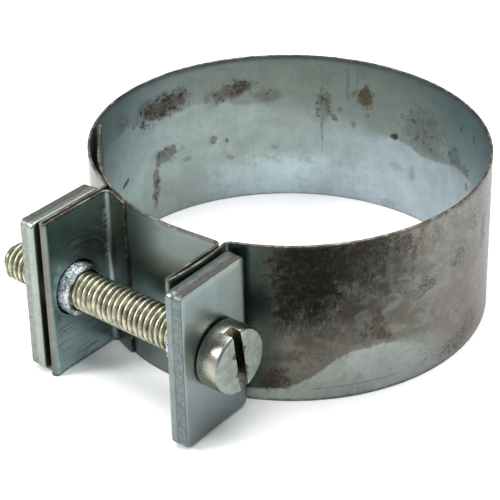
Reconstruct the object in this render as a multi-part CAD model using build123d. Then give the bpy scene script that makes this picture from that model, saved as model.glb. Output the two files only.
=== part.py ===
from build123d import *
from math import acos, asin, atan2, cos, degrees, hypot, pi, radians, sin
import os

# Pipe repair clamp, 60 mm class: one steel strip bent into a ring with two folded ears,
# a plain plate and a threaded plate outside the ears, and one slotted clamping screw.
# Millimetres. Origin: pipe axis, half way up the band. +Z along the pipe, ears towards -Y,
# screw along X with its head on the +X side.

# --- driving dimensions ---
STRIP_T = 0.42            # strip thickness
BAND_W = 26.0             # strip width, along the pipe
RING_R = 29.35            # inside radius of the right-hand stretch of the ring
BACK_R = 31.0             # inside radius of the flatter back of the ring
LEFT_R = 27.95            # inside radius of the left-hand stretch, which ends on the tongue
TONGUE_R = 29.05          # inside radius of the tongue that bridges the gap
LAP_GAP = 0.05            # strip layers that rest on each other

RING_START = -68.0        # angle where the ring leaves the right ear, degrees
RING_SPLIT = 48.0         # angle where the right-hand stretch meets the back
BACK_SWEEP = 104.0
LANDING_R = 6.0           # reverse bend where the ring comes down on the tongue

EAR_BEND_R = 1.0          # centreline radius of the bends at the foot of the ears
EAR_FRONT_Y = -40.3       # front of both folds
LEFT_EAR_X = -13.74       # centreline of the left ear's outer sheet
RIGHT_LEAN = 1.2          # the right ear leans outwards, degrees
PLATE_LEAN = 2.4          # and the plain plate a little more
BOW_ANGLE = 7.0           # outer sheet of the right ear is bowed by this much at each end
RIGHT_FOLD_R = 0.25       # centreline radius of the right hairpin
LEFT_FOLD_R = 0.45        # centreline radius of the left hairpin
LEFT_PINCH = 7.0          # sheets of the left ear are pinched together behind the fold
PINCH_LENGTH = 1.2
PINCH_R = 3.0
TONGUE_FLAT = 5.0         # slope of the flat start of the tongue, degrees
TONGUE_SWEEP = 53.0
TONGUE_END = 8.7          # straight free end of the tongue
FOOT_LENGTH = 3.6         # short lip that rests on the tongue

PLATE_T = 2.7
PLATE_DEPTH = 14.0        # front to back
PLATE_H = 25.0
PLATE_CORNER_R = 1.0
PLATE_EDGE_R = 0.35
RIGHT_PLATE_X = 11.45     # inner face of the plain plate, at the screw
LEFT_PLATE_GAP = 0.7      # threaded plate to the left ear
NUT_HOLE_OFFSET = 1.0     # the threaded plate's middle sits this far behind its hole
HEAD_HOLE_OFFSET = -0.65  # the plain plate's middle sits in front of its hole

SCREW_Y = -34.65
THREAD_R = 3.0            # M6
SCREW_TIP_X = -26.0
TIP_CHAMFER = 0.7
TIP_POINT_R = 2.1
TIP_POINT_LENGTH = 0.6
HEAD_R = 5.0              # DIN 84 cheese head
HEAD_H = 3.9
HEAD_EDGE_R = 0.45
SLOT_W = 1.6
SLOT_DEPTH = 1.7
SLOT_TILT = 8.0           # the slot stands this far off vertical, degrees
HEAD_SEAT_GAP = 0.35      # the plain plate leans, so the head touches it on one side only

COLLAR_R = 4.0            # drawn collar round each plate's hole
COLLAR_LENGTH = 3.75
COLLAR_EDGE_R = 0.3
EAR_HOLE_R = 4.3
NUT_BORE_R = THREAD_R + 0.05
PLAIN_BORE_R = THREAD_R + 0.35


# --- bent strip: a walk along its centreline ---
def step(pose, length=0.0, radius=0.0, turn=0.0):
    """One straight or curved piece of the centreline; turn is in degrees, left positive."""
    return {"pose": pose, "length": length, "radius": radius, "turn": turn}


def at(piece, fraction, side=0.0):
    """Point a fraction of the way along a piece, moved sideways (left positive)."""
    x, y, heading = piece["pose"]
    if piece["turn"] == 0:
        run = piece["length"] * fraction
        return (x + run * cos(heading) - side * sin(heading), y + run * sin(heading) + side * cos(heading))
    signed_r = piece["radius"] if piece["turn"] > 0 else -piece["radius"]
    centre = (x - signed_r * sin(heading), y + signed_r * cos(heading))
    end = heading + radians(piece["turn"]) * fraction
    reach = signed_r - side
    return (centre[0] + reach * sin(end), centre[1] - reach * cos(end))


def end_pose(piece):
    x, y = at(piece, 1.0)
    return (x, y, piece["pose"][2] + radians(piece["turn"]))


def walk(pose, moves):
    """Chain straight pieces (a number) and bends (radius, turn) from a starting pose."""
    pieces = []
    for move in moves:
        if isinstance(move, tuple):
            pieces.append(step(pose, radius=move[0], turn=move[1]))
        else:
            pieces.append(step(pose, length=move))
        pose = end_pose(pieces[-1])
    return pieces


def sweep_to_circle(pose, radius, circle_r):
    """Degrees that a left-hand bend turns before it reaches a circle about the origin from outside."""
    x, y, heading = pose
    centre = (x - radius * sin(heading), y + radius * cos(heading))
    reach = hypot(*centre)
    meeting = acos((circle_r ** 2 - radius ** 2 - reach ** 2) / (2 * radius * reach))
    start = atan2(y - centre[1], x - centre[0])
    return degrees(atan2(centre[1], centre[0]) + meeting - start) % 360


def right_side():
    """From the ring's start back through the right ear and along the tongue to its free end."""
    ring_r = RING_R + STRIP_T / 2
    start = radians(RING_START)
    pose = (ring_r * cos(start), ring_r * sin(start), start - pi / 2)
    sheet_b_heading = -90 + RIGHT_LEAN + BOW_ANGLE
    bend = (EAR_BEND_R, sheet_b_heading - (RING_START - 90))
    pieces = walk(pose, [bend])
    drop = at(pieces[0], 1.0)[1] - (EAR_FRONT_Y + RIGHT_FOLD_R + STRIP_T / 2)
    bow_r = drop / (2 * sin(radians(BOW_ANGLE)))
    fold_turn = -(180 - BOW_ANGLE)
    pieces += walk(end_pose(pieces[-1]), [(bow_r, -2 * BOW_ANGLE), (RIGHT_FOLD_R, fold_turn)])

    tongue_r = TONGUE_R + STRIP_T / 2
    x, y, heading = end_pose(pieces[-1])
    tongue_heading = pi + radians(TONGUE_FLAT)
    tongue_bend = (EAR_BEND_R, degrees(tongue_heading - heading) % 360)
    bend_x = EAR_BEND_R * (sin(tongue_heading) - sin(heading))
    bend_y = EAR_BEND_R * (cos(heading) - cos(tongue_heading))
    normal = (-sin(tongue_heading), cos(tongue_heading))
    offset = tongue_r - normal[0] * (x + bend_x) - normal[1] * (y + bend_y)
    sheet_a = offset / (normal[0] * cos(heading) + normal[1] * sin(heading))
    corner = (x + bend_x + sheet_a * cos(heading), y + bend_y + sheet_a * sin(heading))
    flat = -(corner[0] * cos(tongue_heading) + corner[1] * sin(tongue_heading))
    pieces += walk((x, y, heading), [sheet_a, tongue_bend, flat, (tongue_r, -TONGUE_SWEEP), TONGUE_END])
    return pieces


def left_side():
    """From the ring's start round the pipe, through the left ear to the lip on the tongue."""
    ring_r = RING_R + STRIP_T / 2
    start = radians(RING_START)
    pose = (ring_r * cos(start), ring_r * sin(start), start + pi / 2)
    pieces = walk(pose, [(ring_r, RING_SPLIT - RING_START), (BACK_R + STRIP_T / 2, BACK_SWEEP)])

    lap_r = TONGUE_R + 1.5 * STRIP_T + LAP_GAP
    left_r = LEFT_R + STRIP_T / 2
    pose = end_pose(pieces[-1])
    pieces += walk(pose, [(left_r, sweep_to_circle(pose, left_r, lap_r + LAP_GAP))])
    x, y, heading = end_pose(pieces[-1])
    slant = degrees(heading - atan2(y, x)) % 360 - 90
    pieces += walk((x, y, heading), [(LANDING_R, -slant / (1 + LANDING_R / lap_r))])
    x, y, heading = end_pose(pieces[-1])
    ear_angle = pi + acos((EAR_BEND_R - LEFT_EAR_X) / (lap_r + EAR_BEND_R))
    pieces += walk((x, y, heading), [(hypot(x, y), degrees(ear_angle - atan2(y, x)) % 360)])

    heading = degrees(end_pose(pieces[-1])[2]) - 360
    pieces += walk(end_pose(pieces[-1]), [(EAR_BEND_R, -90 - heading)])
    drop = at(pieces[-1], 1.0)[1] - (EAR_FRONT_Y + LEFT_FOLD_R + STRIP_T / 2)
    pieces += walk(end_pose(pieces[-1]), [
        drop,
        (LEFT_FOLD_R, 180 + LEFT_PINCH),
        PINCH_LENGTH,
        (PINCH_R, -LEFT_PINCH),
    ])
    x, y, heading = end_pose(pieces[-1])
    foot_angle = asin((x + EAR_BEND_R) / (lap_r + EAR_BEND_R))
    sheet = -(lap_r + EAR_BEND_R) * cos(foot_angle) - y
    pieces += walk((x, y, heading), [
        sheet,
        (EAR_BEND_R, degrees(foot_angle) - 90),
        (lap_r, degrees(FOOT_LENGTH / lap_r)),
    ])
    return pieces


def edge(piece, side):
    if piece["turn"] == 0:
        return Line(at(piece, 0, side), at(piece, 1, side))
    return ThreePointArc(at(piece, 0, side), at(piece, 0.5, side), at(piece, 1, side))


def strip_outline(pieces_right, pieces_left):
    """Closed outline of the strip's section, both faces half a thickness off the centreline."""
    half = STRIP_T / 2
    edges = []
    for side in (-half, half):
        edges += [edge(piece, -side) for piece in pieces_right]
        edges += [edge(piece, side) for piece in pieces_left]
    for pieces in (pieces_right, pieces_left):
        edges.append(Line(at(pieces[-1], 1, half), at(pieces[-1], 1, -half)))
    return make_face(edges)


def across_x(radius, x_from, x_to):
    """Cylinder on the screw's axis between two places along X."""
    plane = Plane(origin=(x_from, SCREW_Y, 0), x_dir=(0, 1, 0), z_dir=(1, 0, 0))
    return extrude(plane * Circle(radius), x_to - x_from)


def band_strip(pieces_right, pieces_left):
    strip = extrude(strip_outline(pieces_right, pieces_left), BAND_W / 2, both=True)
    ear_holes = across_x(EAR_HOLE_R, SCREW_TIP_X, RIGHT_PLATE_X + PLATE_T)
    return strip - ear_holes


# --- plates and screw ---
def plate(bore_r, hole_offset=0.0):
    """Plate with a drawn collar, at the origin: inner face on x = 0, body towards -X."""
    blank = Plane.YZ * Pos(hole_offset, 0) * RectangleRounded(PLATE_DEPTH, PLATE_H, PLATE_CORNER_R)
    body = extrude(blank, -PLATE_T)
    body = fillet(body.edges().filter_by(Axis.X, reverse=True), PLATE_EDGE_R)
    collar = extrude(Plane.YZ.offset(-PLATE_T / 2) * Circle(COLLAR_R), COLLAR_LENGTH + PLATE_T / 2)
    collar = fillet(collar.edges().sort_by(Axis.X)[-1], COLLAR_EDGE_R)
    bore = extrude(Plane.YZ.offset(-PLATE_T - 1) * Circle(bore_r), PLATE_T + COLLAR_LENGTH + 2)
    return body + collar - bore


def nut_plate(pieces_left):
    """Threaded plate, just outside the outer sheet of the left ear."""
    outer_sheet = pieces_left[6]
    ear_face = at(outer_sheet, 0.5, -STRIP_T / 2)[0]
    return Pos(ear_face - LEFT_PLATE_GAP, SCREW_Y, 0) * plate(NUT_BORE_R, NUT_HOLE_OFFSET)


def head_plate():
    leaning = Rot(0, 0, PLATE_LEAN) * Rot(0, 180, 0)
    return Pos(RIGHT_PLATE_X, SCREW_Y, 0) * leaning * plate(PLAIN_BORE_R, HEAD_HOLE_OFFSET)


def clamp_screw():
    head_x = RIGHT_PLATE_X + PLATE_T + HEAD_SEAT_GAP
    shank = across_x(THREAD_R, SCREW_TIP_X + TIP_POINT_LENGTH, head_x + 0.5)
    shank = chamfer(shank.edges().sort_by(Axis.X)[0], TIP_CHAMFER)
    point = across_x(TIP_POINT_R, SCREW_TIP_X, SCREW_TIP_X + TIP_POINT_LENGTH + 0.5)
    head = across_x(HEAD_R, head_x, head_x + HEAD_H)
    head = fillet(head.edges().sort_by(Axis.X)[-1], HEAD_EDGE_R)
    slot = Pos(head_x + HEAD_H, SCREW_Y, 0) * Rot(SLOT_TILT, 0, 0) * Box(2 * SLOT_DEPTH, SLOT_W, 4 * HEAD_R)
    return shank + point + head - slot


def build():
    right, left = right_side(), left_side()
    return {
        "band_strip": band_strip(right, left),
        "head_plate": head_plate(),
        "nut_plate": nut_plate(left),
        "clamp_screw": clamp_screw(),
    }


os.makedirs("parts", exist_ok=True)
for name, solid in build().items():
    export_step(solid, f"parts/{name}.step")
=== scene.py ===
from math import acos, asin, atan2, ceil, cos, degrees, hypot, pi, radians, sin, tau

import bmesh
import bpy
from mathutils import Matrix, Vector, noise


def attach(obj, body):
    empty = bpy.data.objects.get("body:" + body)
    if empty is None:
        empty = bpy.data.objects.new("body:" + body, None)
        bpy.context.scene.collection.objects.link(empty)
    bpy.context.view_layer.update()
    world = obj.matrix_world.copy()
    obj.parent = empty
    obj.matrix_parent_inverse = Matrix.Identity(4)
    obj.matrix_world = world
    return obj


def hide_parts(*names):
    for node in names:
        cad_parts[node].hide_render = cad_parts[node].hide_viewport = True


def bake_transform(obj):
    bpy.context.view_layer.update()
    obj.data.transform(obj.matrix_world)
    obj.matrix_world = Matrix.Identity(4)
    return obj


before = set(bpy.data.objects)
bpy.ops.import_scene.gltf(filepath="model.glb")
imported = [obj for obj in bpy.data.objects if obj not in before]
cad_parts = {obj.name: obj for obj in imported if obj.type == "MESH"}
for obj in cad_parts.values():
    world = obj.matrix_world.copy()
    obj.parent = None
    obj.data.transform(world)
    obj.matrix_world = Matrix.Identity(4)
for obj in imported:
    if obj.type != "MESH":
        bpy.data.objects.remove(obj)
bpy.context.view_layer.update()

MM = 0.001

# --- dimensions, millimetres, as in the CAD model ---
STRIP_T = 0.42
HALF_T = STRIP_T / 2
BAND_W = 26.0
RING_R = 29.35
BACK_R = 31.0
LEFT_R = 27.95
TONGUE_R = 29.05
LAP_GAP = 0.05
RING_START = -68.0
RING_SPLIT = 48.0
BACK_SWEEP = 104.0
LANDING_R = 6.0
EAR_BEND_R = 1.0
EAR_FRONT_Y = -40.3
LEFT_EAR_X = -13.74
RIGHT_LEAN = 1.2
PLATE_LEAN = 2.4
BOW_ANGLE = 7.0
RIGHT_FOLD_R = 0.25
LEFT_FOLD_R = 0.45
LEFT_PINCH = 7.0
PINCH_LENGTH = 1.2
PINCH_R = 3.0
TONGUE_FLAT = 5.0
TONGUE_SWEEP = 53.0
TONGUE_END = 8.7
FOOT_LENGTH = 3.6
PLATE_T = 2.7
PLATE_DEPTH = 14.0
PLATE_H = 25.0
PLATE_CORNER_R = 1.0
RIGHT_PLATE_X = 11.45
LEFT_PLATE_GAP = 0.7
NUT_HOLE_OFFSET = 1.0
HEAD_HOLE_OFFSET = -0.65
SCREW_Y = -34.65
THREAD_R = 2.98
THREAD_ROOT_R = 2.39
THREAD_PITCH = 1.0
SCREW_TIP_X = -26.0
TIP_CHAMFER = 0.7
TIP_POINT_R = 2.1
TIP_POINT_LENGTH = 0.6
HEAD_R = 5.0
HEAD_H = 3.9
HEAD_EDGE_R = 0.45
HEAD_SEAT_GAP = 0.35
HEAD_X = RIGHT_PLATE_X + PLATE_T + HEAD_SEAT_GAP
SLOT_W = 1.6
SLOT_DEPTH = 1.7
SLOT_TILT = 8.0
COLLAR_R = 4.0
COLLAR_LENGTH = 3.75
EAR_HOLE_R = 4.3
NUT_BORE_R = 3.05
PLAIN_BORE_R = 3.35


# --- the strip's centreline, the same walk as in the CAD model ---
def at(piece, fraction, side=0.0):
    x, y, heading = piece["pose"]
    if piece["turn"] == 0:
        run = piece["length"] * fraction
        return x + run * cos(heading) - side * sin(heading), y + run * sin(heading) + side * cos(heading)
    signed_r = piece["radius"] if piece["turn"] > 0 else -piece["radius"]
    centre = (x - signed_r * sin(heading), y + signed_r * cos(heading))
    end = heading + radians(piece["turn"]) * fraction
    reach = signed_r - side
    return centre[0] + reach * sin(end), centre[1] - reach * cos(end)


def end_pose(piece):
    x, y = at(piece, 1.0)
    return (x, y, piece["pose"][2] + radians(piece["turn"]))


def walk(pose, moves):
    """Stretches in a row: a number is a straight length, a pair is a bend's radius and degrees of turn."""
    pieces = []
    for move in moves:
        length, radius, turn = (0.0, *move) if isinstance(move, tuple) else (move, 0.0, 0.0)
        pieces.append({"pose": pose, "length": length, "radius": radius, "turn": turn})
        pose = end_pose(pieces[-1])
    return pieces


def sweep_to_circle(pose, radius, circle_r):
    """Degrees that a left-hand bend turns before it reaches a circle about the origin from outside."""
    x, y, heading = pose
    centre = (x - radius * sin(heading), y + radius * cos(heading))
    reach = hypot(*centre)
    meeting = acos((circle_r ** 2 - radius ** 2 - reach ** 2) / (2 * radius * reach))
    start = atan2(y - centre[1], x - centre[0])
    return degrees(atan2(centre[1], centre[0]) + meeting - start) % 360


def right_side():
    """From the ring's start back through the right ear and along the tongue to its free end."""
    ring_r = RING_R + HALF_T
    start = radians(RING_START)
    pose = (ring_r * cos(start), ring_r * sin(start), start - pi / 2)
    sheet_b_heading = -90 + RIGHT_LEAN + BOW_ANGLE
    pieces = walk(pose, [(EAR_BEND_R, sheet_b_heading - (RING_START - 90))])
    drop = at(pieces[0], 1.0)[1] - (EAR_FRONT_Y + RIGHT_FOLD_R + HALF_T)
    bow_r = drop / (2 * sin(radians(BOW_ANGLE)))
    fold_turn = -(180 - BOW_ANGLE)
    pieces += walk(end_pose(pieces[-1]), [(bow_r, -2 * BOW_ANGLE), (RIGHT_FOLD_R, fold_turn)])

    tongue_r = TONGUE_R + HALF_T
    x, y, heading = end_pose(pieces[-1])
    tongue_heading = pi + radians(TONGUE_FLAT)
    tongue_bend = (EAR_BEND_R, degrees(tongue_heading - heading) % 360)
    bend_x = EAR_BEND_R * (sin(tongue_heading) - sin(heading))
    bend_y = EAR_BEND_R * (cos(heading) - cos(tongue_heading))
    normal = (-sin(tongue_heading), cos(tongue_heading))
    offset = tongue_r - normal[0] * (x + bend_x) - normal[1] * (y + bend_y)
    sheet_a = offset / (normal[0] * cos(heading) + normal[1] * sin(heading))
    corner = (x + bend_x + sheet_a * cos(heading), y + bend_y + sheet_a * sin(heading))
    flat = -(corner[0] * cos(tongue_heading) + corner[1] * sin(tongue_heading))
    pieces += walk((x, y, heading), [sheet_a, tongue_bend, flat, (tongue_r, -TONGUE_SWEEP), TONGUE_END])
    return pieces


def left_side():
    """From the ring's start round the pipe, through the left ear to the lip on the tongue."""
    ring_r = RING_R + HALF_T
    start = radians(RING_START)
    pose = (ring_r * cos(start), ring_r * sin(start), start + pi / 2)
    pieces = walk(pose, [(ring_r, RING_SPLIT - RING_START), (BACK_R + HALF_T, BACK_SWEEP)])

    lap_r = TONGUE_R + 1.5 * STRIP_T + LAP_GAP
    left_r = LEFT_R + HALF_T
    pose = end_pose(pieces[-1])
    pieces += walk(pose, [(left_r, sweep_to_circle(pose, left_r, lap_r + LAP_GAP))])
    x, y, heading = end_pose(pieces[-1])
    slant = degrees(heading - atan2(y, x)) % 360 - 90
    pieces += walk((x, y, heading), [(LANDING_R, -slant / (1 + LANDING_R / lap_r))])
    x, y, heading = end_pose(pieces[-1])
    ear_angle = pi + acos((EAR_BEND_R - LEFT_EAR_X) / (lap_r + EAR_BEND_R))
    pieces += walk((x, y, heading), [(hypot(x, y), degrees(ear_angle - atan2(y, x)) % 360)])

    heading = degrees(end_pose(pieces[-1])[2]) - 360
    pieces += walk(end_pose(pieces[-1]), [(EAR_BEND_R, -90 - heading)])
    drop = at(pieces[-1], 1.0)[1] - (EAR_FRONT_Y + LEFT_FOLD_R + HALF_T)
    pieces += walk(end_pose(pieces[-1]), [
        drop,
        (LEFT_FOLD_R, 180 + LEFT_PINCH),
        PINCH_LENGTH,
        (PINCH_R, -LEFT_PINCH),
    ])
    x, y, heading = end_pose(pieces[-1])
    foot_angle = asin((x + EAR_BEND_R) / (lap_r + EAR_BEND_R))
    sheet = -(lap_r + EAR_BEND_R) * cos(foot_angle) - y
    pieces += walk((x, y, heading), [
        sheet,
        (EAR_BEND_R, degrees(foot_angle) - 90),
        (lap_r, degrees(FOOT_LENGTH / lap_r)),
    ])
    return pieces


def run_of(piece):
    return piece["length"] or piece["radius"] * radians(abs(piece["turn"]))


RIGHT = right_side()
LEFT = left_side()
# places of some stretches in those two lists
RIGHT_OUTER_SHEET, RIGHT_FOLD, RIGHT_INNER_SHEET, TONGUE_BEND = 1, 2, 3, 4
LEFT_OUTER_SHEET, LEFT_FOLD, LEFT_PINCH_START, FOOT_BEND = 6, 7, 8, 11


def place(s, side):
    """Point at s mm along the strip; s is 0 where the ring leaves the right ear. Side is positive inwards."""
    pieces, run, side = (LEFT, s, side) if s >= 0 else (RIGHT, -s, -side)
    for piece in pieces[:-1]:
        length = run_of(piece)
        if run <= length:
            return at(piece, run / length, side)
        run -= length
    return at(pieces[-1], run / run_of(pieces[-1]), side)


ROW_STEP = 1.5            # mm between rows on straight stretches
WIDE_BEND_STEP = 3.0      # degrees between rows
TIGHT_BEND_STEP = 12.0
TIGHT_R = 5.0
ROW_CLEARANCE = 0.12      # rows nearer than this to a marked place are left out


def stations(pieces, sign):
    """Places along the strip where the mesh has a row: close together in the tight bends."""
    found, start = [0.0], 0.0
    for piece in pieces:
        run = run_of(piece)
        bend_step = TIGHT_BEND_STEP if piece["radius"] < TIGHT_R else WIDE_BEND_STEP
        count = max(ceil(run / ROW_STEP), ceil(abs(piece["turn"]) / bend_step))
        found += [start + run * k / count for k in range(1, count + 1)]
        start += run
    return [sign * s for s in found]


ALL_STATIONS = sorted(set(stations(RIGHT, -1) + stations(LEFT, 1)))


def crossing(s_low, s_high, axis, value):
    """Where the centreline crosses x or y = value between two places."""
    rising = place(s_high, 0)[axis] > place(s_low, 0)[axis]
    for _ in range(50):
        middle = (s_low + s_high) / 2
        if (place(middle, 0)[axis] < value) == rising:
            s_low = middle
        else:
            s_high = middle
    return (s_low + s_high) / 2


def start_of(pieces, index, sign):
    return sign * sum(run_of(p) for p in pieces[:index])


HOLES = [
    crossing(start_of(RIGHT, TONGUE_BEND, -1), start_of(RIGHT, RIGHT_INNER_SHEET, -1), 1, SCREW_Y),
    crossing(start_of(RIGHT, RIGHT_FOLD, -1), start_of(RIGHT, RIGHT_OUTER_SHEET, -1), 1, SCREW_Y),
    crossing(start_of(LEFT, LEFT_OUTER_SHEET, 1), start_of(LEFT, LEFT_FOLD, 1), 1, SCREW_Y),
    crossing(start_of(LEFT, LEFT_PINCH_START, 1), start_of(LEFT, FOOT_BEND, 1), 1, SCREW_Y),
]
SEAM_X = 8.0              # where the two meshes of the strip meet, at the back of the ring
SEAM = crossing(start_of(LEFT, 1, 1), start_of(LEFT, 2, 1), 0, SEAM_X)

# --- strip mesh ---
PATCH_S = 4.75            # half size of the square of faces that each ear hole replaces
PATCH_Z = 5.0
EDGE_R = 0.1
HOLE_BURR = 0.07
SEAM_STEP = 0.05
RAGGED = 0.004            # share of the width by which the sheared edges wander
CAP = 4                   # points that round each edge of the strip's section


def strip_profile():
    """Closed section of the strip: (z, side) pairs, the inward face first."""
    top = BAND_W / 2
    rows = [-top + EDGE_R, *range(-12, 13), top - EDGE_R]
    corner = EDGE_R * cos(pi / 4)
    cap = [
        (top - EDGE_R + corner, HALF_T - EDGE_R + corner),
        (top, HALF_T - EDGE_R),
        (top, -HALF_T + EDGE_R),
        (top - EDGE_R + corner, -HALF_T + EDGE_R - corner),
    ]
    inward = [(z, HALF_T) for z in rows]
    outward = [(z, -HALF_T) for z in reversed(rows)]
    return inward + cap + outward + [(-z, -side) for z, side in cap], rows


PROFILE, ROWS = strip_profile()


def new_object(name, data):
    obj = bpy.data.objects.new(name, data)
    bpy.context.scene.collection.objects.link(obj)
    return obj


class Shell:
    """Vertices, faces and one map coordinate per vertex, gathered before they become a mesh."""

    def __init__(self):
        self.points, self.maps, self.faces = [], [], []

    def add(self, point, mapped):
        self.points.append(point)
        self.maps.append(mapped)
        return len(self.points) - 1

    def bridge(self, first, second):
        """Quads between two closed rows of equal length."""
        for k in range(len(first)):
            after = (k + 1) % len(first)
            self.faces.append((first[k], first[after], second[after], second[k]))

    def skin(self, rows):
        for first, second in zip(rows, rows[1:]):
            self.bridge(first, second)

    def build(self, name, attribute, sharp=35.0):
        mesh = bpy.data.meshes.new(name)
        mesh.from_pydata([[c * MM for c in p] for p in self.points], [], self.faces)
        layer = mesh.attributes.new(attribute, "FLOAT_VECTOR", "POINT")
        layer.data.foreach_set("vector", [c for m in self.maps for c in m])
        work = bmesh.new()
        work.from_mesh(mesh)
        bmesh.ops.remove_doubles(work, verts=work.verts, dist=1e-6)
        bmesh.ops.recalc_face_normals(work, faces=work.faces)
        work.to_mesh(mesh)
        work.free()
        mesh.shade_smooth()
        mesh.set_sharp_from_angle(angle=radians(sharp))
        return new_object(name, mesh)


def strip_vertex(shell, s, z, side):
    x, y = place(s, side)
    ragged = 1 - RAGGED * (0.5 + 0.5 * noise.noise((s * 0.35, side, 7.0 if z > 0 else 2.0)))
    edge = 1.0 if abs(z) < BAND_W / 2 - 1.5 * EDGE_R else ragged
    return shell.add((x, y, z * edge), (s, z, side / HALF_T))


def cut_hole(shell, grid, rows_s, centre):
    """Replaces a square of faces on both sides of the strip by rings of faces round a hole."""
    low = rows_s.index(centre - PATCH_S)
    high = rows_s.index(centre + PATCH_S)
    rims = []
    for outward in (False, True):
        columns = [2 * len(ROWS) + CAP - 1 - k if outward else k for k in range(len(ROWS))]
        bottom, top = ROWS.index(-PATCH_Z), ROWS.index(PATCH_Z)
        loop = [(i, bottom) for i in range(low, high)] + [(high, j) for j in range(bottom, top)]
        loop += [(i, top) for i in range(high, low, -1)] + [(low, j) for j in range(top, bottom, -1)]
        previous = [grid[i][columns[j]] for i, j in loop]
        side = -HALF_T if outward else HALF_T
        lip = side * (1 - HOLE_BURR / HALF_T)
        angles = [atan2(ROWS[j], rows_s[i] - centre) for i, j in loop]
        reaches = [hypot(ROWS[j], rows_s[i] - centre) for i, j in loop]
        for share, shift, level in ((0.4, 0, side), (0.75, 0, side), (1, HOLE_BURR, side), (1, 0, lip)):
            ring = []
            for angle, reach in zip(angles, reaches):
                radius = reach + (EAR_HOLE_R + shift - reach) * share
                ring.append(strip_vertex(shell, centre + radius * cos(angle), radius * sin(angle), level))
            shell.bridge(previous, ring)
            previous = ring
        rims.append(previous)
    shell.bridge(rims[0], rims[1])


def close_end(shell, column):
    count = len(ROWS)
    inward, outward = column[:count], column[count + CAP:2 * count + CAP][::-1]
    for k in range(count - 1):
        shell.faces.append((inward[k], inward[k + 1], outward[k + 1], outward[k]))
    shell.faces.append([inward[-1], *column[count:count + CAP], outward[-1]])
    shell.faces.append([outward[0], *column[2 * count + CAP:], inward[0]])


def strip_piece(name, s_low, s_high, holes, closed_low, closed_high):
    shell = Shell()
    marks = [h + sign * PATCH_S for h in holes for sign in (-1, 1)] + [s_low, s_high]
    if not closed_low:
        marks.append(s_low + SEAM_STEP)
    if not closed_high:
        marks.append(s_high - SEAM_STEP)
    kept = [s for s in ALL_STATIONS if s_low < s < s_high and min(abs(s - m) for m in marks) > ROW_CLEARANCE]
    rows_s = sorted(kept + marks)
    grid = [[strip_vertex(shell, s, z, side) for z, side in PROFILE] for s in rows_s]
    count = len(ROWS)
    for i in range(len(rows_s) - 1):
        middle = (rows_s[i] + rows_s[i + 1]) / 2
        in_hole = any(abs(middle - h) < PATCH_S for h in holes)
        for j in range(len(PROFILE)):
            after = (j + 1) % len(PROFILE)
            flat = j < count - 1 or count + CAP <= j < 2 * count + CAP - 1
            if in_hole and flat and abs(PROFILE[j][0] + PROFILE[after][0]) < 2 * PATCH_Z:
                continue
            shell.faces.append((grid[i][j], grid[i][after], grid[i + 1][after], grid[i + 1][j]))
    for hole in holes:
        cut_hole(shell, grid, rows_s, hole)
    if closed_low:
        close_end(shell, grid[0])
    if closed_high:
        close_end(shell, grid[-1])
    return shell.build(name, "strip_map")


TONGUE_TIP = start_of(RIGHT, len(RIGHT), -1)
FOOT_TIP = start_of(LEFT, len(LEFT), 1)
strip_right = strip_piece("strip_right", TONGUE_TIP, SEAM, HOLES[:2], True, False)
strip_left = strip_piece("strip_left", SEAM, FOOT_TIP, HOLES[2:], False, True)

# --- plates ---
OUTLINE_STEP = 0.6
CORNER_STEPS = 7
PLATE_EDGE_R = 0.35       # rounded edge of the face on the ear's side
BACK_INSET = 0.3
BORE_ENTRY_R = 0.8
COLLAR_FILLET = 0.35


def outline(inset, centre_y):
    """Rounded rectangle of a plate's edge, inset by some amount, as (y, z) pairs round the hole."""
    span_y, span_z = PLATE_DEPTH / 2 - PLATE_CORNER_R, PLATE_H / 2 - PLATE_CORNER_R
    reach = PLATE_CORNER_R - inset
    points = []
    corners = [(1, 1, 0), (-1, 1, 90), (-1, -1, 180), (1, -1, 270)]
    for number, (sy, sz, start) in enumerate(corners):
        cy, cz = centre_y + sy * span_y, sz * span_z
        for k in range(CORNER_STEPS + 1):
            angle = radians(start + 90 * k / CORNER_STEPS)
            points.append((cy + reach * cos(angle), cz + reach * sin(angle)))
        following = corners[(number + 1) % 4]
        ny, nz = centre_y + following[0] * span_y, following[1] * span_z
        count = ceil(hypot(ny - cy, nz - cz) / OUTLINE_STEP)
        turned = radians(start + 90)
        for k in range(1, count):
            share = k / count
            y = cy + (ny - cy) * share + reach * cos(turned)
            z = cz + (nz - cz) * share + reach * sin(turned)
            points.append((y, z))
    return points


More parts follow.
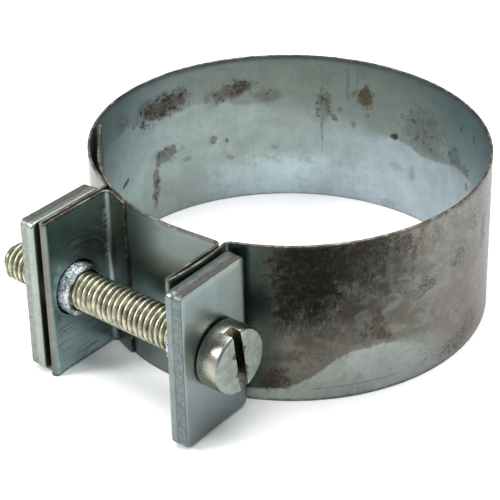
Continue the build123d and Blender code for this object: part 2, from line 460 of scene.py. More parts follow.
def plate_piece(name, bore_r, centre_y, transform, seed):
    """Punched plate with its drawn collar: inner face on x = 0, collar towards +X, before the transform."""
    shell = Shell()
    reference = outline(PLATE_EDGE_R, centre_y)
    angles = [atan2(z, y) for y, z in reference]
    flat, shear, torn, collar = (0, 0, 0), (1, 0, 0), (0, 1, 0), (0, 0, 1)

    def put(x, y, z, zone):
        return shell.add(tuple(transform @ Vector((x, y, z))), zone)

    def edge_ring(x, inset, zone, rough=0.0, wander=0.0):
        ring = []
        for (y0, z0), (y1, z1) in zip(outline(inset, centre_y), outline(inset + 1.0, centre_y)):
            chip = abs(rough * noise.noise((y0 * 1.7 + seed, z0 * 1.7, x * 3.0)))
            shift = wander * noise.noise((y0 * 0.55, z0 * 0.55 + seed, 1.0))
            ring.append(put(x + shift, y0 + (y1 - y0) * chip, z0 + (z1 - z0) * chip, zone))
        return ring

    def round_ring(x, radius, zone, rough=0.0, tear=0.0):
        ring = []
        for angle in angles:
            wobble = rough * abs(noise.noise((3.1 * cos(angle) * radius, 3.1 * sin(angle) * radius, seed + x)))
            pull = tear * abs(noise.noise((0.9 * cos(angle) * radius, 0.9 * sin(angle) * radius, seed + 9.0)))
            reach = radius - wobble
            ring.append(put(x - pull, reach * cos(angle), reach * sin(angle), zone))
        return ring

    def face_rings(x, inset, radius):
        rings = []
        for share in (0.15, 0.4, 0.65, 0.85):
            ring = []
            for (y, z), angle in zip(outline(inset, centre_y), angles):
                cy, cz = radius * cos(angle), radius * sin(angle)
                ring.append(put(x, y + (cy - y) * share, z + (cz - z) * share, flat))
            rings.append(ring)
        return rings

    entry_r = bore_r + BORE_ENTRY_R
    rings = [edge_ring(-PLATE_T, BACK_INSET, flat)]
    rings += face_rings(-PLATE_T, BACK_INSET, entry_r)
    for turn in (0, 30, 60, 90):
        reach = entry_r - BORE_ENTRY_R * sin(radians(turn))
        rings.append(round_ring(-PLATE_T + BORE_ENTRY_R * (1 - cos(radians(turn))), reach, flat))
    rings.append(round_ring(0.0, bore_r, collar))
    rings.append(round_ring(COLLAR_LENGTH - 0.45, bore_r, collar, tear=0.2))
    for x, radius in ((0.08, bore_r + 0.2), (0.0, bore_r + 0.45), (0.05, COLLAR_R - 0.28), (0.22, COLLAR_R - 0.08)):
        rings.append(round_ring(COLLAR_LENGTH - x, radius, collar, rough=0.12, tear=0.45))
    rings += [
        round_ring(COLLAR_LENGTH - 0.8, COLLAR_R, collar, rough=0.06, tear=0.1),
        round_ring(1.0, COLLAR_R, collar, rough=0.03),
        round_ring(0.3, COLLAR_R, collar),
        round_ring(0.07, COLLAR_R + 0.12, flat),
        round_ring(0.0, COLLAR_R + COLLAR_FILLET, flat),
    ]
    rings += face_rings(0.0, PLATE_EDGE_R, COLLAR_R + COLLAR_FILLET)[::-1]
    rings.append([put(0.0, y, z, flat) for y, z in reference])
    for turn in (30, 60, 90):
        inset = PLATE_EDGE_R * (1 - sin(radians(turn)))
        rings.append(edge_ring(-PLATE_EDGE_R * (1 - cos(radians(turn))), inset, shear))
    rings.append(edge_ring(-0.8, 0.0, shear))
    rings.append(edge_ring(-1.15, 0.0, shear, wander=0.25))
    rings.append(edge_ring(-1.25, 0.05, torn, rough=0.06, wander=0.25))
    for x, inset in ((-1.5, 0.08), (-1.75, 0.08), (-2.0, 0.1)):
        rings.append(edge_ring(x, inset, torn, rough=0.16, wander=0.06))
    rings.append(edge_ring(-PLATE_T + 0.08, 0.12, torn, rough=0.1))
    shell.skin(rings + rings[:1])
    return shell.build(name, "zone_map", sharp=32.0)


nut_x = at(LEFT[LEFT_OUTER_SHEET], 0.5, -HALF_T)[0] - LEFT_PLATE_GAP
left_place = Matrix.Translation((nut_x, SCREW_Y, 0))
right_place = (
    Matrix.Translation((RIGHT_PLATE_X, SCREW_Y, 0))
    @ Matrix.Rotation(radians(PLATE_LEAN), 4, "Z")
    @ Matrix.Rotation(pi, 4, "Y")
)
plate_left = plate_piece("plate_threaded", NUT_BORE_R, NUT_HOLE_OFFSET, left_place, 3.0)
plate_right = plate_piece("plate_plain", PLAIN_BORE_R, HEAD_HOLE_OFFSET, right_place, 11.0)

# --- screw ---
ROUND_STEPS = 48
NECK_R = 2.3              # where the thread runs out under the head
THREAD_PROFILE = [        # (share of the pitch, share of the thread's height)
    (0.0, 1.0), (0.09, 0.985), (0.17, 0.91), (0.25, 0.74), (0.33, 0.5), (0.41, 0.29),
    (0.5, 0.2), (0.59, 0.29), (0.67, 0.5), (0.75, 0.74), (0.83, 0.91), (0.91, 0.985),
]
SHANK_LOW = SCREW_TIP_X + TIP_POINT_LENGTH
SHANK_HIGH = HEAD_X + 0.3


def shank_limit(x):
    """Largest radius of the thread at x: chamfered at the tip, run out under the head."""
    return min(THREAD_R, THREAD_R - TIP_CHAMFER + (x - SHANK_LOW), NECK_R + 2 * max(0.0, SHANK_HIGH - x))


def screw_ring(shell, x, radius):
    return [
        shell.add((x, SCREW_Y + radius * cos(tau * k / ROUND_STEPS), radius * sin(tau * k / ROUND_STEPS)), (x, 0, 0))
        for k in range(ROUND_STEPS)
    ]


def thread(shell):
    """Right-hand thread: rows that follow the helix, held between the tip and the head."""
    turns = ceil((SHANK_HIGH - SHANK_LOW) / THREAD_PITCH) + 2
    grid = []
    for i in range(ROUND_STEPS + 1):
        angle = tau * i / ROUND_STEPS
        column = []
        for turn_number in range(-1, turns):
            for phase, height in THREAD_PROFILE:
                x = SHANK_LOW + THREAD_PITCH * (turn_number - 1 + phase + i / ROUND_STEPS)
                x = min(max(x, SHANK_LOW), SHANK_HIGH)
                radius = min(THREAD_ROOT_R + (THREAD_R - THREAD_ROOT_R) * height, shank_limit(x))
                column.append((x, radius, angle))
        grid.append(column)
    ids = [
        [shell.add((x, SCREW_Y + r * cos(a), r * sin(a)), (x, (r - THREAD_ROOT_R) / (THREAD_R - THREAD_ROOT_R), 1))
         for x, r, a in column]
        for column in grid
    ]
    for i in range(ROUND_STEPS):
        for m in range(len(grid[0]) - 1):
            corners = ((i, m), (i + 1, m), (i + 1, m + 1), (i, m + 1))
            xs = {grid[a][b][0] for a, b in corners}
            if xs not in ({SHANK_LOW}, {SHANK_HIGH}):
                shell.faces.append(tuple(ids[a][b] for a, b in corners))


def shank_piece():
    shell = Shell()
    thread(shell)
    rings = [screw_ring(shell, SHANK_LOW, THREAD_R - TIP_CHAMFER)]
    for x, radius in (
        (SHANK_LOW, TIP_POINT_R + 0.06), (SHANK_LOW - 0.06, TIP_POINT_R),
        (SCREW_TIP_X + 0.18, TIP_POINT_R - 0.02), (SCREW_TIP_X, TIP_POINT_R - 0.22),
        (SCREW_TIP_X + 0.02, 1.2), (SCREW_TIP_X + 0.12, 0.5),
    ):
        rings.append(screw_ring(shell, x, radius))
    shell.skin(rings)
    shell.faces.append(rings[-1])
    shell.faces.append(screw_ring(shell, SHANK_HIGH, NECK_R))
    return shell.build("screw_shank", "screw_map")


def head_piece():
    shell = Shell()
    front = HEAD_X + HEAD_H
    profile = [(HEAD_X, 2.2), (HEAD_X, 4.0), (HEAD_X, HEAD_R - 0.25), (HEAD_X + 0.05, HEAD_R - 0.08)]
    profile += [(HEAD_X + 0.25, HEAD_R), (HEAD_X + 1.2, HEAD_R), (HEAD_X + 2.4, HEAD_R - 0.01)]
    for turn in range(0, 91, 15):
        angle = radians(turn)
        x = front - HEAD_EDGE_R * (1 - sin(angle))
        profile.append((x, HEAD_R - 0.02 - HEAD_EDGE_R * (1 - cos(angle))))
    profile += [(front, 3.6), (front, 2.4), (front, 1.2)]
    rings = [screw_ring(shell, x, r) for x, r in profile]
    shell.skin(rings)
    shell.faces.append(rings[0])
    shell.faces.append(rings[-1])
    head = shell.build("screw_head", "screw_map", sharp=50.0)

    cutter = bpy.data.meshes.new("slot_cutter")
    work = bmesh.new()
    bmesh.ops.create_cube(work, size=1.0, matrix=Matrix.Diagonal((2 * SLOT_DEPTH, SLOT_W, 4 * HEAD_R, 1)))
    place_slot = Matrix.Translation((front, SCREW_Y, 0)) @ Matrix.Rotation(radians(SLOT_TILT), 4, "X")
    bmesh.ops.transform(work, matrix=Matrix.Scale(MM, 4) @ place_slot, verts=work.verts)
    work.to_mesh(cutter)
    work.free()
    tool = new_object("slot_cutter", cutter)
    cut = head.modifiers.new("slot", "BOOLEAN")
    cut.operation = "DIFFERENCE"
    cut.solver = "EXACT"
    cut.object = tool
    bevel = head.modifiers.new("slot_edges", "BEVEL")
    bevel.width = 0.12 * MM
    bevel.segments = 2
    bevel.limit_method = "ANGLE"
    bevel.angle_limit = radians(50)
    bpy.context.view_layer.update()
    result = bpy.data.meshes.new_from_object(head.evaluated_get(bpy.context.evaluated_depsgraph_get()))
    head.modifiers.clear()
    head.data = result
    bpy.data.objects.remove(tool)
    return head


screw_head = head_piece()
screw_shank = shank_piece()


# --- materials ---
TONE = 0.8                # every base colour is multiplied by this, to suit the studio light
INWARD_TONE = 0.79        # and the strip's inward face by this as well
LAP_SHADE = (143.4, 144.6)  # past here the inward face lies on the tongue, where no light gets in
FOLD_LINE = 178.6         # painted shade: dark line along the front of the left ear's hairpin
SEAM_MARK_Z = -10.9       # thin scratch along the clean foot of the ring
SMOKE = (0.15, 0.112, 0.076)
SOOT = (0.009, 0.0085, 0.0065)
CHAR = (0.034, 0.024, 0.017)


class Shader:
    """One Principled material, built node by node; an input takes a number, a colour or a socket."""

    def __init__(self, name):
        self.material = bpy.data.materials.new(name)
        self.material.use_nodes = True
        self.tree = self.material.node_tree
        self.bsdf = self.tree.nodes["Principled BSDF"]
        self.colour = None

    def feed(self, socket, value):
        if isinstance(value, bpy.types.NodeSocket):
            self.tree.links.new(value, socket)
        elif socket.type == "RGBA":
            socket.default_value = (*value[:3], 1)
        else:
            socket.default_value = value

    def node(self, kind, inputs=None, **settings):
        made = self.tree.nodes.new("ShaderNode" + kind)
        for key, value in settings.items():
            setattr(made, key, value)
        for key, value in (inputs or {}).items():
            self.feed(made.inputs[key], value)
        return made

    def map(self, name):
        return self.node("Attribute", attribute_name=name).outputs["Vector"]

    def place_mm(self):
        return self.stretch(self.node("TexCoord").outputs["Object"], (1000, 1000, 1000))

    def split(self, vector):
        return self.node("SeparateXYZ", {0: vector}).outputs

    def length(self, vector):
        return self.node("VectorMath", {0: vector}, operation="LENGTH").outputs["Value"]

    def math(self, operation, a, b=0.0, c=0.0):
        return self.node("Math", {0: a, 1: b, 2: c}, operation=operation).outputs[0]

    def times(self, *values):
        found = values[0]
        for value in values[1:]:
            found = self.math("MULTIPLY", found, value)
        return found

    def stretch(self, vector, scale, shift=(0, 0, 0), turn=0.0):
        inputs = {"Vector": vector, "Scale": scale, "Location": shift, "Rotation": (0, 0, radians(turn))}
        return self.node("Mapping", inputs).outputs[0]

    def noise(self, vector, scale, detail=3.0, rough=0.55, twist=0.0):
        inputs = {"Vector": vector, "Scale": scale, "Detail": detail, "Roughness": rough, "Distortion": twist}
        return self.node("TexNoise", inputs).outputs[0]

    def band(self, value, low, high, start=0.0, end=1.0):
        """Smooth step from start to end as value goes from low to high."""
        inputs = {"Value": value, "From Min": low, "From Max": high, "To Min": start, "To Max": end}
        return self.node("MapRange", inputs, interpolation_type="SMOOTHSTEP").outputs[0]

    def mix(self, factor, a, b, kind="MIX"):
        made = self.node("Mix", data_type="RGBA", blend_type=kind)
        self.feed(made.inputs["Factor"], factor)
        self.feed(made.inputs[6], a)
        self.feed(made.inputs[7], b)
        return made.outputs[2]

    def paint(self, colour, *masks):
        """Puts a colour over what is there so far, as strong as the masks multiplied together."""
        self.colour = self.mix(self.times(*masks), self.colour, colour)

    def along(self, value, stops):
        """Colour that changes along a value; stops are (value, colour) in rising order."""
        low, high = stops[0][0], stops[-1][0]
        share = self.node("MapRange", {"Value": value, "From Min": low, "From Max": high}).outputs[0]
        made = self.node("ValToRGB", {0: share})
        elements = made.color_ramp.elements
        for number, (place_at, colour) in enumerate(stops):
            position = (place_at - low) / (high - low)
            element = elements[number] if number < 2 else elements.new(position)
            element.position = position
            element.color = (*colour, 1)
        return made.outputs[0]

    def height_line(self, value, stops):
        """A height in mm that follows listed points along a value."""
        reach = 15.0
        colours = [(place_at, (0.5 + height / reach / 2,) * 3) for place_at, height in stops]
        return self.math("MULTIPLY_ADD", self.along(value, colours), 2 * reach, -reach)

    def spots(self, vector, ragged, listed):
        """Mask of soft ragged ovals: (x, y, half width, half height, strength) and a tilt in degrees, if any."""
        found = 0.0
        for x, y, half_x, half_y, strength, *tilt in listed:
            inputs = {"Vector": vector, "Location": (x, y, 0), "Rotation": (0, 0, radians(sum(tilt)))}
            local = self.node("Mapping", {**inputs, "Scale": (half_x, half_y, 1e3)}, vector_type="TEXTURE")
            reach = self.length(local.outputs[0])
            mask = self.band(self.math("ADD", reach, ragged), 1.1, 0.5, 0.0, strength)
            found = self.math("MAXIMUM", mask, found)
        return found

    def finish(self, roughness, height, distance, tone=TONE, metallic=1.0):
        grey = self.node("CombineXYZ", {0: tone, 1: tone, 2: tone}).outputs[0]
        self.feed(self.bsdf.inputs["Base Color"], self.mix(1.0, self.colour, grey, "MULTIPLY"))
        self.feed(self.bsdf.inputs["Roughness"], roughness)
        self.feed(self.bsdf.inputs["Metallic"], metallic)
        bump = self.node("Bump", {"Height": height, "Distance": distance * MM, "Strength": 1.0})
        self.feed(self.bsdf.inputs["Normal"], bump.outputs[0])
        return self.material


# Stains on the inward face of the ring, as Shader.spots takes them: s, z and half sizes in mm, strength, tilt.
INNER_STAINS = [
    (125.8, 7.3, 6.4, 2.4, 0.95, -8), (128.5, 8.6, 2.6, 1.6, 0.5), (122.5, 8.6, 2.0, 1.4, 0.5),
    (112.8, 7.2, 4.4, 1.9, 0.75, -10), (106.4, 5.8, 2.6, 1.7, 0.4), (135.0, 8.4, 2.4, 2.2, 0.35),
    (125.0, -1.5, 3.2, 1.6, 0.75), (127.4, -5.2, 0.9, 4.6, 0.75, 8), (127.8, -9.4, 0.5, 1.6, 0.5, 8),
    (116.2, -1.3, 0.9, 0.9, 0.6), (113.7, -1.8, 0.6, 0.6, 0.7), (121.0, -3.6, 1.2, 0.6, 0.35),
    (113.0, -5.2, 1.0, 0.5, 0.35), (135.3, -2.75, 1.5, 0.45, 1.0, 160), (105.5, -4.0, 0.7, 0.7, 0.3),
    (97.5, 2.5, 0.32, 8.5, 0.35), (97.2, 4.4, 1.6, 3.4, 0.55), (93.1, 8.6, 0.3, 4.4, 0.35),
    (91.4, 9.5, 0.35, 3.0, 0.25), (90.2, 6.4, 2.0, 2.0, 0.75), (95.4, 2.0, 0.6, 0.8, 0.7),
    (94.4, 3.6, 0.6, 0.6, 0.5), (92.0, 1.2, 0.7, 0.9, 0.5), (89.6, 3.4, 0.6, 0.6, 0.5),
    (84.4, 0.9, 0.9, 0.7, 0.9, -20), (78.0, 3.6, 6.0, 4.4, 0.42), (70.6, 2.4, 2.2, 2.4, 0.5),
    (67.4, 1.6, 1.6, 1.2, 0.55), (66.6, -0.8, 0.6, 0.9, 0.7), (69.0, 8.0, 0.5, 0.8, 0.6),
    (64.5, 8.6, 0.5, 0.9, 0.6), (84.0, -4.6, 2.2, 1.0, 0.2), (80.6, -4.6, 0.8, 1.6, 0.3),
    (85.6, -12.0, 2.0, 0.9, 0.3),
]
OLIVE_STAINS = [(90.0, 6.6, 1.9, 2.2, 0.9), (111.2, 7.8, 1.6, 1.1, 0.5)]

# Soot and rust on the outward face.
OUTER_STAINS = [
    (10.5, 8.0, 6.0, 7.5, 1.0), (17.0, 9.5, 7.0, 5.0, 0.8), (8.0, 4.5, 2.6, 4.0, 0.9),
    (14.5, 9.5, 2.0, 2.4, 0.9), (19.0, 12.0, 5.0, 1.6, 0.8), (23.0, 8.5, 4.0, 4.0, 0.45),
    (21.0, 5.0, 3.0, 2.0, 0.5),
]
RUST_STAINS = [
    (16.9, 2.6, 1.7, 2.4, 0.9), (20.9, 0.2, 0.9, 1.4, 0.9), (21.4, -3.4, 1.7, 1.2, 0.85, -25),
    (20.2, -1.8, 0.8, 1.6, 0.6), (13.6, -1.4, 2.2, 1.6, 0.85), (9.8, -2.8, 1.9, 1.4, 0.8),
    (7.6, -5.2, 2.4, 1.5, 0.85), (5.6, -9.2, 2.6, 2.6, 0.95), (3.4, -8.0, 1.6, 2.0, 0.7),
    (11.8, -4.2, 3.0, 1.8, 0.5), (17.0, -3.2, 3.0, 1.4, 0.4), (14.4, 9.9, 2.4, 2.2, 0.5),
    (40.0, -9.0, 3.0, 2.2, 0.4), (34.0, -11.0, 5.0, 1.2, 0.4), (44.0, 4.0, 1.2, 4.0, 0.4),
]
# Places where the outward face is thick with fine dark specks.
SPECKLED = [
    (26.0, 10.6, 3.2, 2.0, 1.0, -10), (31.5, 10.2, 3.4, 1.8, 0.9), (29.0, 2.3, 2.8, 1.6, 1.0),
    (24.4, 2.4, 1.8, 1.6, 0.8), (36.1, 4.3, 2.4, 3.0, 0.9), (41.0, 8.0, 2.4, 3.4, 0.8),
    (20.0, -2.5, 3.2, 3.4, 1.0), (12.0, -6.0, 5.0, 2.6, 0.9, -10), (5.0, -9.0, 3.4, 2.4, 1.0),
    (35.0, -10.5, 8.0, 1.8, 0.7), (17.0, 10.5, 6.0, 2.0, 0.6),
]


class StripShader(Shader):
    """What the strip's three materials share: coordinates along it and across it, and its noises."""

    def __init__(self, name, layer):
        super().__init__(name)
        where = self.map("strip_map")
        self.s, self.z, _ = self.split(where)
        self.flat = self.stretch(where, (1, 1, 0), (0, 0, layer))
        self.cloud = self.noise(self.flat, 0.09, 4.0, 0.6)
        self.blotch = self.noise(self.flat, 0.45, 5.0, 0.65, 0.6)
        self.grain = self.noise(self.flat, 2.6, 4.0, 0.6)
        self.speck = self.noise(self.flat, 1.15, 6.0, 0.75)
        self.plane = self.stretch(where, (1, 1, 0))
        self.ragged = self.band(self.noise(self.flat, 0.8, 4.0, 0.7), 0.25, 0.75, -0.45, 0.45)
        mottle = self.band(self.noise(self.flat, 0.28, 7.0, 0.72), 0.3, 0.7, -1.0, 1.0)
        self.mottle = self.math("MULTIPLY_ADD", mottle, 0.1, 1.0)
        self.wobble = self.band(self.speck, 0.2, 0.8, -0.25, 0.25)

    def scratches(self):
        slanted = self.stretch(self.flat, (0.22, 5.0, 1), turn=24)
        crossed = self.stretch(self.flat, (0.16, 6.0, 1), turn=-38)
        first = self.band(self.noise(slanted, 1.0, 2.0), 0.63, 0.7)
        second = self.band(self.noise(crossed, 1.0, 2.0), 0.64, 0.71)
        return self.times(self.math("MAXIMUM", first, second), self.band(self.blotch, 0.4, 0.6))

    def rim(self):
        return self.band(self.math("ABSOLUTE", self.z), 12.35, 12.8)

    def dull(self, stain):
        """Roughness of the zinc, higher where it is stained."""
        return self.math("ADD", self.band(self.grain, 0.25, 0.75, 0.3, 0.42), self.times(stain, 0.18))

    def relief(self):
        return self.math("ADD", self.times(self.grain, 0.35), self.times(self.blotch, 0.9))


def inward_material():
    """Inside of the ring: dull above a tide line, clean and bluish below it, with brown smudges."""
    m = StripShader("zinc_strip_inward", 3.0)
    s, z = m.s, m.z
    below = m.along(s, [
        (50, (0.36, 0.42, 0.44)), (66, (0.46, 0.54, 0.57)), (80, (0.5, 0.6, 0.64)), (92, (0.49, 0.59, 0.6)),
        (104, (0.43, 0.51, 0.48)), (118, (0.42, 0.5, 0.46)), (127, (0.47, 0.58, 0.56)), (136, (0.41, 0.54, 0.53)),
        (150, (0.28, 0.34, 0.33)),
    ])
    lowest = m.along(s, [
        (50, (0.4, 0.47, 0.5)), (70, (0.53, 0.61, 0.67)), (86, (0.57, 0.67, 0.72)), (103, (0.68, 0.84, 0.88)),
        (115, (0.52, 0.62, 0.64)), (121, (0.4, 0.47, 0.43)), (136, (0.35, 0.42, 0.39)), (150, (0.3, 0.34, 0.32)),
    ])
    depth = m.band(m.math("ADD", z, m.band(m.blotch, 0.3, 0.7, -1.0, 1.0)), -4.0, -8.5)
    m.colour = m.mix(depth, below, lowest)
    upper = m.along(s, [
        (30, (0.22, 0.25, 0.24)), (50, (0.23, 0.285, 0.28)), (62, (0.35, 0.49, 0.5)), (70, (0.3, 0.4, 0.395)),
        (80, (0.28, 0.35, 0.33)), (90, (0.28, 0.33, 0.29)), (104, (0.29, 0.34, 0.293)), (118, (0.31, 0.36, 0.32)),
        (130, (0.34, 0.43, 0.42)), (140, (0.31, 0.41, 0.41)), (160, (0.25, 0.3, 0.3)),
    ])
    tide = m.height_line(s, [
        (55, 0.4), (66.6, 0.7), (70.5, 0.8), (75.3, -0.6), (79.2, -0.9), (81.4, 0.1), (84, 0.4), (89, 0.0),
        (95, 1.5), (100, 2.6), (105.3, 3.6), (108, 4.3), (111, 4.4), (113.4, 5.1), (117.4, 5.8), (119.4, 5.9),
        (122, 5.4), (126, 5.5), (131, 6.8), (135, 6.8), (138.3, 6.4), (145, 5.0),
    ])
    above = m.math("ADD", m.math("SUBTRACT", z, tide), m.wobble)
    blur = m.times(m.band(s, 84, 90), m.band(s, 109, 103))
    softness = m.math("MULTIPLY_ADD", blur, 2.4, 0.28)
    m.paint(upper, m.band(m.math("DIVIDE", above, softness), -1.0, 1.0))
    m.paint((0.3, 0.35, 0.35), m.band(m.cloud, 0.35, 0.65, 0.0, 0.3))
    drawn = m.band(m.noise(m.stretch(m.flat, (1.3, 0.1, 1)), 1.0, 3.0), 0.35, 0.7, 0.0, 0.09)
    m.paint((0.2, 0.23, 0.22), drawn)
    soft = m.band(m.blotch, 0.5, 0.7, 0.0, 0.22)
    m.paint((0.26, 0.29, 0.25), soft, m.band(s, 80, 100))
    stain = m.spots(m.plane, m.math("MULTIPLY", m.ragged, 0.9), INNER_STAINS)
    m.paint(SMOKE, stain, m.band(m.speck, 0.25, 0.55, 0.45, 0.85))
    blobs = m.noise(m.flat, 0.85, 6.0, 0.72, 0.4)
    flecks = m.band(m.math("MULTIPLY_ADD", stain, 0.12, blobs), 0.58, 0.7)
    m.paint(CHAR, flecks, m.band(stain, 0.1, 0.5), 0.75)
    olive = m.spots(m.plane, m.ragged, OLIVE_STAINS)
    m.paint((0.13, 0.09, 0.04), olive, 0.6)
    # painted shade: near-black where the ring's inward face lies on the tongue and no light gets in
    m.paint((0.004, 0.004, 0.004), m.band(s, *LAP_SHADE, 0.0, 0.97))
    tip = m.times(m.band(s, -50, -64), m.band(z, -9, 0))
    m.paint((0.2, 0.155, 0.13), tip, 0.75)
    lines = m.scratches()
    m.paint((0.5, 0.55, 0.54), lines, 0.16)
    m.paint((0.16, 0.15, 0.11), m.rim(), m.band(m.speck, 0.4, 0.65), 0.35)
    # the same painted shade is also made rough and not metallic
    hidden = m.band(s, *LAP_SHADE)
    roughness = m.math("MULTIPLY_ADD", hidden, 0.6, m.dull(stain))
    metallic = m.math("SUBTRACT", 1.0, hidden)
    return m.finish(roughness, m.relief(), 0.02, m.times(m.mottle, TONE * INWARD_TONE), metallic)


def outward_material():
    """Outside of the strip: soot, heat tarnish and painted dark reflection beside the right ear, clean low down, dark
    teal inside the ears.
    """
    m = StripShader("zinc_strip_outward", 41.0)
    s, z = m.s, m.z
    # colour along the strip: the dark stretch beside the right ear is partly tarnish and soot, partly painted dark
    # reflection
    m.colour = m.along(s, [
        (-70, (0.18, 0.225, 0.215)), (-31, (0.19, 0.235, 0.225)), (-24, (0.15, 0.19, 0.18)),
        (-14, (0.15, 0.19, 0.18)), (-1.2, (0.1, 0.13, 0.12)), (0, (0.06, 0.09, 0.08)),
        (2.8, (0.062, 0.096, 0.084)), (4.2, (0.045, 0.055, 0.047)), (6, (0.022, 0.023, 0.019)),
        (13, (0.02, 0.02, 0.016)), (19, (0.045, 0.042, 0.034)), (27, (0.12, 0.115, 0.096)),
        (33, (0.18, 0.175, 0.15)), (42, (0.115, 0.11, 0.092)), (52, (0.085, 0.08, 0.066)),
        (60, (0.125, 0.118, 0.096)), (100, (0.25, 0.275, 0.255)), (132, (0.24, 0.255, 0.225)),
        (140, (0.155, 0.143, 0.105)), (162, (0.155, 0.143, 0.105)), (166, (0.24, 0.3, 0.29)),
        # the FOLD_LINE stop is painted shade along the front of the left ear's hairpin
        (177.3, (0.17, 0.155, 0.13)), (178.35, (0.17, 0.15, 0.125)), (FOLD_LINE, (0.03, 0.03, 0.026)),
        (178.95, (0.25, 0.39, 0.39)), (190, (0.25, 0.39, 0.38)), (191.4, (0.2, 0.24, 0.22)),
        (193, (0.18, 0.185, 0.16)), (196, (0.16, 0.16, 0.14)),
    ])
    # beside the right ear, lighter towards the bottom: partly heat tarnish, partly painted reflection
    tarnish_and_reflection = m.times(m.band(s, 4, 8), m.band(s, 40, 20))
    m.paint((0.125, 0.12, 0.1), tarnish_and_reflection, m.band(m.math("ADD", z, m.wobble), 1.0, -5.0))
    patch = m.times(m.band(m.blotch, 0.42, 0.66), m.band(s, 10, 32, 0.04, 0.55), m.band(s, 36, 48, 1.0, 0.6))
    m.paint((0.25, 0.255, 0.235), patch)
    m.paint((0.15, 0.14, 0.12), m.band(m.cloud, 0.45, 0.75), 0.4)
    fibres = m.noise(m.stretch(m.flat, (2.6, 0.7, 1), turn=20), 1.0, 4.0, 0.7)
    fibres = m.times(m.band(fibres, 0.46, 0.68), tarnish_and_reflection, m.band(m.blotch, 0.35, 0.6, 0.1, 0.5))
    m.paint((0.15, 0.147, 0.13), fibres)
    rust = m.times(m.spots(m.plane, m.ragged, RUST_STAINS), m.band(m.speck, 0.3, 0.55, 0.35, 1.0))
    m.paint((0.052, 0.045, 0.034), rust, 0.7)
    soot = m.times(m.spots(m.plane, m.ragged, OUTER_STAINS), m.band(m.speck, 0.3, 0.55, 0.5, 1.0))
    m.paint(SOOT, soot, 0.88)
    clean_line = m.height_line(s, [
        (-2, -11.4), (1.9, -11.1), (7.3, -10.8), (10.5, -9.2), (12.6, -7.7), (14.5, -6.2), (16.9, -5.2), (20.9, -4.9),
        (24.1, -5.3), (30, -7.0), (38, -11.0), (44, -14.0),
    ])
    under = m.math("ADD", m.math("SUBTRACT", clean_line, z), m.wobble)
    fade = m.band(s, 22, 30, 0.3, 3.0)
    clean = m.times(m.band(m.math("DIVIDE", under, fade), -1.0, 1.0), m.band(s, -1.5, 0.5), m.band(s, 46, 40))
    m.paint(m.mix(m.band(s, 4, 14), (0.4, 0.455, 0.405), (0.29, 0.325, 0.3)), clean, 0.9)
    mottle = m.times(clean, m.band(m.noise(m.flat, 0.7, 6.0, 0.75), 0.5, 0.66))
    m.paint((0.17, 0.17, 0.14), mottle, 0.4)
    seam_line = m.band(m.math("ABSOLUTE", m.math("SUBTRACT", z, SEAM_MARK_Z)), 0.16, 0.05)
    m.paint((0.12, 0.115, 0.095), seam_line, m.band(s, 10, 12), m.band(s, 26, 23), 0.5)
    # pinkish tint on the far right of the ring: partly tarnish, partly painted reflection
    pink_tint_and_sheen = m.times(m.band(s, 27, 38), m.band(s, 60, 48), m.band(z, 4, -2), m.band(m.cloud, 0.3, 0.6))
    m.paint((0.165, 0.12, 0.103), pink_tint_and_sheen, 0.6)
    peppered = m.math("ADD", m.noise(m.flat, 2.6, 6.0, 0.8), m.band(m.cloud, 0.3, 0.7, -0.08, 0.06))
    peppered = m.math("MULTIPLY_ADD", m.spots(m.plane, m.ragged, SPECKLED), 0.12, peppered)
    pepper = m.times(m.band(peppered, 0.61, 0.68), m.band(s, 3, 6), m.band(s, 62, 50))
    m.paint(CHAR, pepper, 0.7)
    lines = m.times(m.scratches(), m.band(s, 16, 34, 0.05, 1.0))
    m.paint((0.46, 0.5, 0.49), lines, 0.4)
    ear = m.times(m.band(s, 178.7, 179.1), m.band(s, 192, 190.5))
    m.paint((0.48, 0.64, 0.645), ear, m.band(z, 5, -10), 0.85)
    brushed = m.noise(m.stretch(m.flat, (0.17, 2.8, 1)), 1.0, 3.0, 0.65)
    m.paint((0.08, 0.11, 0.105), ear, m.band(brushed, 0.5, 0.66), m.band(z, 0, -7), 0.6)
    # painted highlight: lighter teal spot on the left ear beside the collar
    painted_highlight = m.spots(m.plane, m.ragged, [(180.6, 1.8, 1.5, 3.0, 0.7)])
    m.paint((0.5, 0.68, 0.66), painted_highlight)

    # arcs that the turning collar rubbed into the left ear
    from_hole = m.stretch(m.plane, (1, 1, 1), (-HOLES[3], 0, 0))
    reach = m.length(from_hole)
    hole_s, hole_z, _ = m.split(from_hole)
    swirl = m.node("CombineXYZ", {0: m.times(reach, 7.0), 1: m.times(m.math("ARCTAN2", hole_z, hole_s), 1.6)})
    arcs = m.times(m.band(m.noise(swirl.outputs[0], 1.0, 1.0), 0.54, 0.62), m.band(reach, 4.6, 5.4))
    arcs = m.times(arcs, m.band(reach, 10.5, 8.0), m.band(hole_z, -2, 3), m.band(s, 181, 184))
    m.paint((0.62, 0.72, 0.7), arcs, ear, 0.75)
    # painted highlight: bright broken specks along the left ear's bend
    bend = m.times(m.band(s, 189.9, 190.2), m.band(s, 191.3, 190.7), m.band(z, -2, 2))
    highlight_specks = m.band(m.noise(m.stretch(m.flat, (0.8, 2.6, 1)), 1.0, 2.0), 0.5, 0.6)
    m.paint((0.75, 0.82, 0.78), bend, highlight_specks, 0.8)
    m.paint((0.06, 0.045, 0.03), m.rim(), m.band(m.speck, 0.35, 0.6), 0.75)
    roughness = m.dull(m.math("MAXIMUM", soot, rust))
    return m.finish(roughness, m.relief(), 0.02, m.times(m.mottle, TONE))


